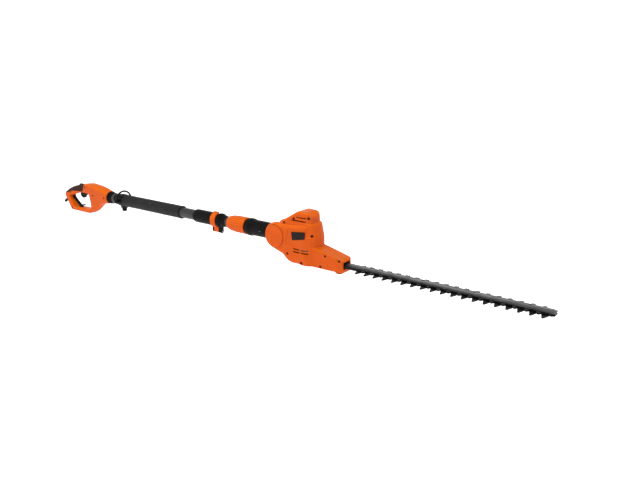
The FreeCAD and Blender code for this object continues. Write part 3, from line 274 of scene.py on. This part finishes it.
ORANGE = (0.55, 0.075, 0.003)
# lighter orange laid on the case's upward faces: painted top light
TOP_LIT_ORANGE = (0.8, 0.135, 0.001)
BLACK = (0.004, 0.0036, 0.0034)
MATERIALS = {
    "orange_shell": moulded_plastic(
        "orange_shell", ORANGE, 0.45, painted_top_light=TOP_LIT_ORANGE, Specular_IOR_Level=0.1
    ),
    "black_plastic": moulded_plastic(
        "black_plastic", BLACK, 0.46, grain=700, relief=0.1, mottle=0.25, Specular_IOR_Level=0.07
    ),
    "soft_overmould": rubber("soft_overmould", (0.022, 0.005, 0.002)),
    "foam": foam_skin("foam"),
    "pole_grey": painted_tube("pole_grey", (0.036, 0.036, 0.036), 0.2),
    "blade_steel": milled_steel("blade_steel", (0.028, 0.028, 0.0285), 0.42, (0.3, 1, 1)),
    "blade_bar": milled_steel("blade_bar", (0.14, 0.14, 0.141), 0.4, (0.04, 1, 1), 0.7),
    "ground_edge": milled_steel("ground_edge", (0.1, 0.1, 0.102), 0.35, (1, 0.3, 1), 0.7),
    # painted highlight: a light copy of the guide bar's steel, laid on the rib's bevel where it catches the
    # light
    "rail_edge": milled_steel("rail_edge", (0.75, 0.75, 0.76), 0.4, (0.04, 1, 1), 0.8),
    "steel": milled_steel("steel", (0.5, 0.5, 0.51), 0.3),
    # painted shade: the screws are coloured a dark red-brown to look as they do lying in shade
    "zinc_screw": milled_steel("zinc_screw", (0.07, 0.022, 0.014), 0.45),
    "steel_black": milled_steel("steel_black", (0.02, 0.02, 0.021), 0.42),
    "cast_plate": milled_steel("cast_plate", (0.4, 0.4, 0.41), 0.5),
    "copper_iron": copper_and_iron("copper_iron"),
    "brass_pin": milled_steel("brass_pin", (0.7, 0.48, 0.2), 0.3),
    "lead_rubber": rubber("lead_rubber", (0.01, 0.01, 0.011)),
    "felt_seal": felt("felt_seal"),
    "badge_black": moulded_plastic(
        "badge_black", (0.01, 0.005, 0.0035), 0.4, grain=500, relief=0.04, Specular_IOR_Level=0.12
    ),
    "carbon": milled_steel("carbon", (0.03, 0.03, 0.03), 0.55),
    "white_mark": moulded_plastic("white_mark", (0.7, 0.7, 0.69), 0.45, Specular_IOR_Level=0.3),
}


def dress(obj, *slots):
    """Gives an object its materials, in slot order."""
    obj.data.materials.clear()
    for slot in slots:
        obj.data.materials.append(MATERIALS[slot])


NODE_SLOTS = {part["node"]: part["material_slot"] for part in frame["record"]["subparts"]}
for node, obj in NODES.items():
    for index in range(len(obj.material_slots)):
        obj.material_slots[index].material = MATERIALS[NODE_SLOTS[node]]


# ---------------------------------------------------------------- making pieces
def add_piece(name, mesh, node, slots=()):
    """Shows a mesh in place of a CAD node, on the same body and in the same slot."""
    obj = bpy.data.objects.new(name, mesh)
    bpy.context.scene.collection.objects.link(obj)
    dress(obj, *(slots or (NODE_SLOTS[node],)))
    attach(obj, NODES[node]["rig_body"])
    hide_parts(node)
    return obj


def welded(node):
    """A node's mesh as a bmesh with its loose facets joined."""
    bm = bmesh.new()
    mesh = NODES[node].data
    corners = [bm.verts.new(vertex.co) for vertex in mesh.vertices]
    for polygon in mesh.polygons:
        bm.faces.new([corners[index] for index in polygon.vertices])
    bmesh.ops.remove_doubles(bm, verts=bm.verts, dist=WELD)
    bmesh.ops.dissolve_degenerate(bm, edges=bm.edges, dist=WELD)
    return bm


def as_mesh(bm, name):
    """Closes a bmesh into a new mesh."""
    mesh = bpy.data.meshes.new(name)
    bmesh.ops.recalc_face_normals(bm, faces=bm.faces)
    bm.to_mesh(mesh)
    bm.free()
    return mesh


def with_modifiers(mesh, *modifiers):
    """A mesh after a stack of modifiers, each a type and its settings."""
    carrier = bpy.data.objects.new("carrier", mesh)
    bpy.context.scene.collection.objects.link(carrier)
    for kind, settings in modifiers:
        modifier = carrier.modifiers.new(kind, kind)
        for key, value in settings.items():
            setattr(modifier, key, value)
    graph = bpy.context.evaluated_depsgraph_get()
    result = bpy.data.meshes.new_from_object(carrier.evaluated_get(graph))
    bpy.data.objects.remove(carrier)
    return result


def sculpted(mesh, *strokes):
    """Moves a mesh's vertices; a stroke takes points and normals in millimetres and returns new points."""
    count = len(mesh.vertices)
    points = np.zeros(count * 3)
    mesh.vertices.foreach_get("co", points)
    normals = np.zeros(count * 3)
    mesh.vertices.foreach_get("normal", normals)
    points = points.reshape(-1, 3) / MM
    normals = normals.reshape(-1, 3)
    for stroke in strokes:
        points = stroke(points, normals)
    mesh.vertices.foreach_set("co", (points * MM).ravel())
    mesh.update()


def moulded(name, node, voxel, *strokes, slots=(), patch=None):
    """A node's shape with every edge softened, as a mould leaves it, and detail pressed into it.

    A patch picks face centres, in millimetres, that take the second of the slots.
    """
    mesh = with_modifiers(
        as_mesh(welded(node), name),
        ("REMESH", {"mode": "VOXEL", "voxel_size": voxel * MM}),
        ("SMOOTH", {"factor": 0.5, "iterations": SMOOTH_ROUNDS}),
    )
    sculpted(mesh, *strokes)
    mesh.shade_smooth()
    piece = add_piece(name, mesh, node, slots)
    if patch:
        for polygon in mesh.polygons:
            polygon.material_index = int(patch(polygon.center / MM))
    return piece


def rounded(outline, radius):
    """A closed outline with its corners rounded over."""
    result = []
    corners = [Vector(point) for point in outline]
    for index, corner in enumerate(corners):
        before = corners[index - 1] - corner
        after = corners[(index + 1) % len(corners)] - corner
        start = corner + before.normalized() * min(radius, 0.45 * before.length)
        end = corner + after.normalized() * min(radius, 0.45 * after.length)
        for step in range(CORNER_STEPS + 1):
            part = step / CORNER_STEPS
            result.append(start.lerp(corner, part).lerp(corner.lerp(end, part), part))
    return result


def divided(outline, longest):
    """An outline with points added so that no side is longer than a length."""
    result = []
    for index, point in enumerate(outline):
        following = outline[(index + 1) % len(outline)]
        count = max(1, math.ceil((following - point).length / longest))
        result += [point.lerp(following, step / count) for step in range(count)]
    return result


def lathe_mesh(name, outline, sides, relief=None):
    """A closed mesh turned round the pole's axis.

    The outline is (station, radius) in millimetres. Relief gives extra radius by station, radius and angle.
    """
    centre = Vector((0, 0, AXIS))
    bm = bmesh.new()
    rings = []
    for station, radius in outline:
        ring = []
        for side in range(sides):
            angle = 2 * math.pi * side / sides
            reach = radius + (relief(station, radius, angle) if relief else 0)
            across = reach * math.cos(angle)
            up = reach * math.sin(angle)
            ring.append(bm.verts.new(centre + Vector((station, across, up)) * MM))
        rings.append(ring)
    for index, ring in enumerate(rings):
        following = rings[(index + 1) % len(rings)]
        for side in range(sides):
            other = (side + 1) % sides
            bm.faces.new((ring[side], ring[other], following[other], following[side]))
    mesh = as_mesh(bm, name)
    mesh.shade_smooth()
    return mesh


def turned(name, node, outline, sides, softness, longest, relief=None):
    """A turned piece in place of a node on the pole's axis."""
    shape = divided(rounded(outline, softness), longest)
    return add_piece(name, lathe_mesh(name, shape, sides, relief), node)


def machined(name, node, bevel, ground=None, slots=(), width=GROUND_WIDTH):
    """A node's shape with small bevels on its edges. Ground picks edges that get one wide bevel."""
    bm = welded(node)
    bmesh.ops.dissolve_limit(bm, angle_limit=math.radians(1), verts=bm.verts, edges=bm.edges)
    if ground:
        edges = [edge for edge in bm.edges if len(edge.link_faces) == 2 and ground(edge)]
        made = bmesh.ops.bevel(
            bm, geom=edges, offset=width * MM, segments=1, profile=0.5, affect="EDGES", clamp_overlap=True
        )
        for face in made["faces"]:
            face.material_index = 1
    mesh = as_mesh(bm, name)
    settings = {"width": bevel * MM, "segments": 2, "limit_method": "ANGLE", "angle_limit": math.radians(40)}
    mesh = with_modifiers(mesh, ("BEVEL", settings), ("TRIANGULATE", {}))
    mesh.shade_smooth()
    mesh.set_sharp_from_angle(angle=math.radians(32))
    return add_piece(name, mesh, node, slots)


# ---------------------------------------------------------------- strokes
def smooth_step(value, start, end):
    part = np.clip((value - start) / (end - start), 0, 1)
    return part * part * (3 - 2 * part)


def line_distance(points, corners, closed=False):
    """Distance in the side view from each point to a line of straight runs."""
    spots = points[:, [0, 2]]
    ends = corners[1:] + corners[:1] if closed else corners[1:]
    nearest = np.full(len(points), np.inf)
    for start, end in zip(corners, ends):
        start = np.array(start, float)
        run = np.array(end, float) - start
        part = np.clip((spots - start) @ run / (run @ run), 0, 1)
        nearest = np.minimum(nearest, np.linalg.norm(spots - start - part[:, None] * run, axis=1))
    return nearest


def outer_side(points, normals, depth):
    """How much each vertex belongs to a side face beyond a depth; its sign tells the side."""
    side = np.sign(points[:, 1])
    facing = np.clip(normals[:, 1] * side * 1.6 - 0.3, 0, 1)
    return facing * (np.abs(points[:, 1]) > depth) * side


def pressed_line(corners, width, depth, beyond, closed=False):
    """A groove along a line in the side faces; a negative depth raises a bead."""
    def stroke(points, normals):
        near = np.clip(line_distance(points, corners, closed) / width, 0, 1)
        result = points.copy()
        result[:, 1] -= outer_side(points, normals, beyond) * depth * (0.5 + 0.5 * np.cos(math.pi * near))
        return result
    return stroke


def tucked_below(line, amount, rear):
    """The side steps in below a belt line, forward of a station."""
    stations, heights = zip(*line)

    def stroke(points, normals):
        belt = np.interp(points[:, 0], stations, heights)
        below = 1 - smooth_step(points[:, 2], belt - 0.8, belt + 0.4)
        result = points.copy()
        result[:, 1] *= 1 - amount * below * smooth_step(points[:, 0], rear, rear + 12)
        return result
    return stroke


def lean_in(points, normals):
    """The body's sides lean in towards its top, and the hood's a little more."""
    along, side, up = points[:, 0], np.abs(points[:, 1]), points[:, 2]
    lean = np.clip((up - 80) / 36, 0, 1) * smooth_step(along, -195, -165)
    side = np.where(side > HOOD_HALF, HOOD_HALF + (side - HOOD_HALF) * (1 - 0.7 * lean), side)
    side = side * (1 - 0.08 * np.clip((up - 112) / 36, 0, 1))
    result = points.copy()
    result[:, 1] = np.sign(points[:, 1]) * side
    return result


def pillowed(points, normals):
    """The handle's body is a round barrel at the pole and flattens towards the loop."""
    stations = (-1090, -1060, -1019, -990, -963)
    along = points[:, 0]
    low = np.interp(along, stations, (4, 8, 34, 44, 50))
    high = np.interp(along, stations, (104.5, 105.5, 103.5, 99, 92))
    power = np.interp(along, stations, (5, 5, 3.4, 2.6, 2.1))
    part = np.abs(points[:, 2] - (low + high) / 2) / ((high - low) / 2 * 1.02)
    squeeze = np.maximum(1 - np.clip(part, 0, 0.99) ** power, 0) ** (1 / power)
    amount = smooth_step(along, -1078, -1058)
    result = points.copy()
    result[:, 1] *= 1 - amount * (1 - squeeze)
    return result


def dished(centre, radius, depth):
    """A round hollow in an outer side face."""
    def stroke(points, normals):
        away = np.hypot(points[:, 0] - centre[0], points[:, 2] - centre[1])
        result = points.copy()
        amount = depth * (1 - smooth_step(away, radius - 2, radius))
        result[:, 1] -= outer_side(points, normals, BODY_HALF) * amount
        return result
    return stroke


def relieved_rim(centre, start, end):
    """A disc's hidden rim gets smaller towards its back, so that it clears the corner of its seat."""
    def stroke(points, normals):
        across = points[:, [0, 2]] - np.array(centre)
        reach = np.linalg.norm(across, axis=1)
        shrink = 1 - 0.06 * smooth_step(points[:, 1], start, end) * smooth_step(reach, 14, 30)
        result = points.copy()
        result[:, [0, 2]] = np.array(centre) + across * shrink[:, None]
        return result
    return stroke


def ribs_round(centre, axis, count, depth, start, end, inner):
    """Grooves along a round piece, between two stations; the axis is 0 for X or 2 for Z."""
    first, second = (1, 2) if axis == 0 else (0, 1)

    def stroke(points, normals):
        across = points[:, first] - centre[first]
        up = points[:, second] - centre[second]
        radius = np.hypot(across, up)
        angle = np.arctan2(up, across)
        station = points[:, axis]
        fade = smooth_step(station, start, start + 1.5) * (1 - smooth_step(station, end - 1.5, end))
        groove = depth * fade * (0.5 + 0.5 * np.cos(count * angle)) ** 2 * (radius > inner)
        scale = 1 - groove / np.maximum(radius, 1e-6)
        result = points.copy()
        result[:, first] = centre[first] + across * scale
        result[:, second] = centre[second] + up * scale
        return result
    return stroke


# ---------------------------------------------------------------- pieces
def make_pole_pieces():
    """Foam grip and coupling nut."""
    low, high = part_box("foam_grip")
    rear, front, skin = low.x / MM, high.x / MM, (high.z - low.z) / 2 / MM
    bore = skin - 3.4
    waist = skin - 0.6
    outline = [(rear, bore), (rear, skin), (rear + 5, skin), (rear + 9, waist), (front - 9, waist)]
    outline += [(front - 5, skin), (front, skin), (front, bore)]

    def lumps(station, radius, angle):
        swell = math.sin(station * 0.11 + 2 * math.sin(angle)) * math.cos(3 * angle + station * 0.05)
        return 0.12 * swell if radius > bore + 1 else 0

    turned("foam_grip_skin", "foam_grip", outline, 96, 1.4, 4, lumps)

    low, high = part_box("coupling_nut")
    rear, front, wide = low.x / MM, high.x / MM, (high.z - low.z) / 2 / MM
    waist = rear + 13
    shoulder = front - 9
    outline = [(rear, 14.6), (rear, 18.4), (rear + 3, 20), (waist, 22.4), (rear + 34, wide - 0.2)]
    outline += [(shoulder, wide - 0.5), (front - 7.5, wide - 1.7), (front - 6, wide - 0.2)]
    outline += [(front - 2, wide), (front, wide - 1.2), (front, wide - 4), (front - 2, wide - 5.2)]
    outline += [(waist + 12, 19.5), (waist + 10, 14.6)]

    def ribs(station, radius, angle):
        if radius < 18 or not waist - 6 < station < shoulder:
            return 0
        fade = min(1, (station - waist + 6) / 8, (shoulder - station) / 3)
        return -1.1 * fade * (0.5 + 0.5 * math.cos(22 * angle)) ** 3

    turned("coupling_nut_body", "coupling_nut", outline, 220, 0.9, 3, ribs)


def make_blade_pieces():
    """Guard comb, both blades and the guide bar, with ground teeth."""
    def tooth_edge(edge):
        middle_point = (edge.verts[0].co + edge.verts[1].co) / 2
        ups = sorted(abs(face.normal.z) for face in edge.link_faces)
        return abs(middle_point.y) > 15.5 * MM and middle_point.x > 30 * MM and ups[0] < 0.3 and ups[1] > 0.9

    def upper_edge(edge):
        return tooth_edge(edge) and any(face.normal.z > 0.9 for face in edge.link_faces)

    def rail_edge(edge):
        ups = sorted(abs(face.normal.z) for face in edge.link_faces)
        long = edge.calc_length() > 100 * MM
        return long and ups[0] < 0.3 and ups[1] > 0.9 and edge.verts[0].co.z > rail_top - 0.5 * MM

    rail_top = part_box("guide_bar")[1].z
    machined("guard_comb_plate", "guard_comb", 0.3)
    for node in ("lower_blade", "upper_blade"):
        machined(node + "_cutter", node, 0.12, upper_edge, ("blade_steel", "ground_edge"))
    # the rib's bevel takes the rail_edge colour, a painted highlight
    machined("guide_bar_rail", "guide_bar", 0.4, rail_edge, ("blade_bar", "rail_edge"), RAIL_EDGE_WIDTH)


def make_case_pieces():
    """Both cases, the controls and the fittings, as they come out of the mould."""
    badge_frame = [(-149, 93), (-104, 98), (-104, 79), (-146, 70)]
    case = (
        lean_in,
        tucked_below([(-134, 18.7), (-78, 18.7), (-11, 15.8), (20, 15)], amount=0.045, rear=-146),
        pressed_line([(-165, 54), (-164, 76), (-161, 98)], width=3, depth=1.6, beyond=BODY_HALF),
        pressed_line([(-159, 107), (-120, 112.5), (-85, 118)], width=2.2, depth=0.5, beyond=22),
        pressed_line(badge_frame, width=2.6, depth=-0.45, beyond=BODY_HALF, closed=True),
    )
    for side in ("near", "far"):
        moulded(
            f"head_case_{side}",
            f"head_shell_{side}",
            1.0,
            *case,
            slots=("orange_shell", "black_plastic"),
            # faces low at the nose, below 2.8 mm and forward of -16 mm, take black plastic, so the nose is
            # darker at its bottom
            patch=lambda spot: spot.z < 2.8 and spot.x > -16,
        )
        moulded(f"handle_case_{side}", f"handle_shell_{side}", 0.9, pillowed)
    moulded("grip_skin", "grip_overmould", 0.7)
    axis = (0, 0, AXIS / MM)
    hub_ribs = ribs_round(axis, 0, count=20, depth=1.3, start=-446.5, end=-438, inner=18)
    moulded("tube_clamp_body", "tube_clamp", 0.75, hub_ribs)
    moulded("strap_clamp_body", "strap_clamp", 0.7)
    moulded("lock_lever_band", "lock_lever", 0.5)
    moulded("trigger_paddle", "trigger", 0.5)
    moulded("cord_hook_bar", "cord_hook", 0.5)
    moulded("lock_off_cap", "lock_off_button", 0.4)
    moulded("inlet_body", "inlet_plug", 0.4)
    pivot = (PIVOT.x / MM, PIVOT.z / MM)
    hollow = dished(pivot, radius=27, depth=0.7)
    rim = relieved_rim(pivot, start=-36.8, end=-35.2)
    moulded("pivot_button_disc", "pivot_button", 0.5, hollow, rim)
    moulded("badge_blank", "badge_plate", 0.4)
    knob = middle("clamp_knob") / MM
    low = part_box("clamp_knob")[0].z / MM
    knob_ribs = ribs_round(knob, 2, count=12, depth=1.1, start=low + 1, end=low + 9, inner=4)
    moulded("clamp_knob_grip", "clamp_knob", 0.4, knob_ribs)
    moulded("strap_ring_bail", "strap_ring", 0.4)


def make_neck():
    """The neck with its bead, and the painted mark that shows how far the nut is closed."""
    low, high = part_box("neck_sleeve")
    rear, front, flange = low.x / MM, high.x / MM, (high.z - low.z) / 2 / MM
    body = 22.8
    socket = rear + 31.9
    outline = [(rear, 15.1), (rear, flange - 2), (rear + 2, flange - 0.4), (rear + 4.5, flange)]
    outline += [(rear + 14, flange), (rear + 17, flange - 1), (rear + 21, body + 0.4)]
    outline += [(rear + 26, body), (front - 9, body - 0.2), (front, body - 0.2), (front, 18), (socket, 18)]
    outline += [(socket, 15.1)]
    turned("neck_casing", "neck_sleeve", outline, 128, 1.0, 4)

    bm = bmesh.new()
    corners = [(-281, 3), (-277.5, 9), (-272, -3), (-275, -11)]
    layers = []
    for radius in (body - 0.8, body - 0.1):
        ring = []
        for station, degrees in corners:
            angle = math.radians(degrees)
            spot = (station, -radius * math.cos(angle), AXIS / MM + radius * math.sin(angle))
            ring.append(bm.verts.new(Vector(spot) * MM))
        layers.append(ring)
    bm.faces.new(layers[0])
    bm.faces.new(layers[1])
    for index in range(4):
        other = (index + 1) % 4
        bm.faces.new((layers[0][index], layers[0][other], layers[1][other], layers[1][index]))
    add_piece("neck_mark", as_mesh(bm, "neck_mark"), "neck_sleeve", ("white_mark",))


def make_sleeve():
    """The ribbed sleeve at the mouth of the handle."""
    low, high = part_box("handle_sleeve")
    rear, front, flange = low.x / MM, high.x / MM, (high.z - low.z) / 2 / MM
    mouth = rear + 12
    outline = [(rear, 16.2), (rear, 18.4), (mouth - 1.8, 18.4), (mouth - 1.8, flange), (mouth, flange)]
    station = mouth
    while station < front - 4:
        outline += [(station + 0.4, 18.2), (station + 1.2, 18.2), (station + 1.6, 19.1), (station + 3, 19.1)]
        station += 3.4
    outline += [(station, 18), (front, 16.9), (front, 16.2)]
    turned("handle_sleeve_boot", "handle_sleeve", outline, 96, 0.3, 5)


make_pole_pieces()
make_blade_pieces()
make_case_pieces()
make_neck()
make_sleeve()


# ---------------------------------------------------------------- camera, light and floor
def add_camera():
    """The camera stands to the near right of the blade and looks down at the head."""
    data = bpy.data.cameras.new("camera")
    data.sensor_width = 36
    data.lens = 37.44
    camera = bpy.data.objects.new("camera", data)
    camera.location = (0.8885, -1.3357, 0.5578)
    camera.rotation_euler = (math.radians(72.77), 0, math.radians(36.66))
    bpy.context.scene.collection.objects.link(camera)
    bpy.context.scene.camera = camera


def add_lamp(name, place, size, power, target):
    """A soft square lamp aimed at a point."""
    data = bpy.data.lights.new(name, "AREA")
    data.size = size
    data.energy = power
    lamp = bpy.data.objects.new(name, data)
    lamp.location = place
    lamp.rotation_euler = (Vector(target) - Vector(place)).to_track_quat("-Z", "Y").to_euler()
    bpy.context.scene.collection.objects.link(lamp)


def add_studio():
    """Pale round floor that curves up into a wall, an even sky and two soft lamps."""
    world = bpy.data.worlds.new("studio")
    world.use_nodes = True
    backdrop = world.node_tree.nodes["Background"]
    backdrop.inputs["Color"].default_value = (1, 1, 1, 1)
    backdrop.inputs["Strength"].default_value = 0.5
    bpy.context.scene.world = world

    centre = (CAD_BOX[0] + CAD_BOX[1]) / 2
    floor_z = CAD_BOX[0].z - FLOOR_DROP
    bm = bmesh.new()
    hub = bm.verts.new((centre.x, centre.y, floor_z))
    rings = []
    profile = [(0.6, 0), (3, 0), (5, 0), (6.5, 0.25), (7.6, 0.9), (8.2, 1.9), (8.5, 3.2), (8.6, 5)]
    for radius, height in profile:
        ring = []
        for side in range(FLOOR_SIDES):
            angle = 2 * math.pi * side / FLOOR_SIDES
            along = centre.x + radius * math.cos(angle)
            across = centre.y + radius * math.sin(angle)
            ring.append(bm.verts.new((along, across, floor_z + height)))
        rings.append(ring)
    for side in range(FLOOR_SIDES):
        bm.faces.new((hub, rings[0][side], rings[0][(side + 1) % FLOOR_SIDES]))
    for small, large in zip(rings, rings[1:]):
        for side in range(FLOOR_SIDES):
            other = (side + 1) % FLOOR_SIDES
            bm.faces.new((small[side], large[side], large[other], small[other]))
    mesh = bpy.data.meshes.new("floor")
    bm.to_mesh(mesh)
    bm.free()
    mesh.shade_smooth()
    floor = bpy.data.objects.new("floor", mesh)
    glow = {"Emission_Color": (1, 1, 1, 1), "Emission_Strength": 0.62}
    recipe = Recipe("pale_floor", Specular_IOR_Level=0.2, **glow)
    recipe.colour(recipe.mixed(recipe.noise(2, 3), (0.9, 0.9, 0.9), (0.92, 0.92, 0.92)))
    recipe.roughness(recipe.ranged(recipe.noise(8, 3), 0.7, 0.8))
    mesh.materials.append(recipe.material)
    bpy.context.scene.collection.objects.link(floor)

    aim = (centre.x, centre.y, centre.z)
    add_lamp("key", (-1.2, -1.5, 3.3), 2.2, 40, aim)
    add_lamp("fill", (2.6, -2.4, 1.6), 2.4, 6, aim)
    bpy.context.scene.view_settings.view_transform = "Standard"


add_camera()
add_studio()
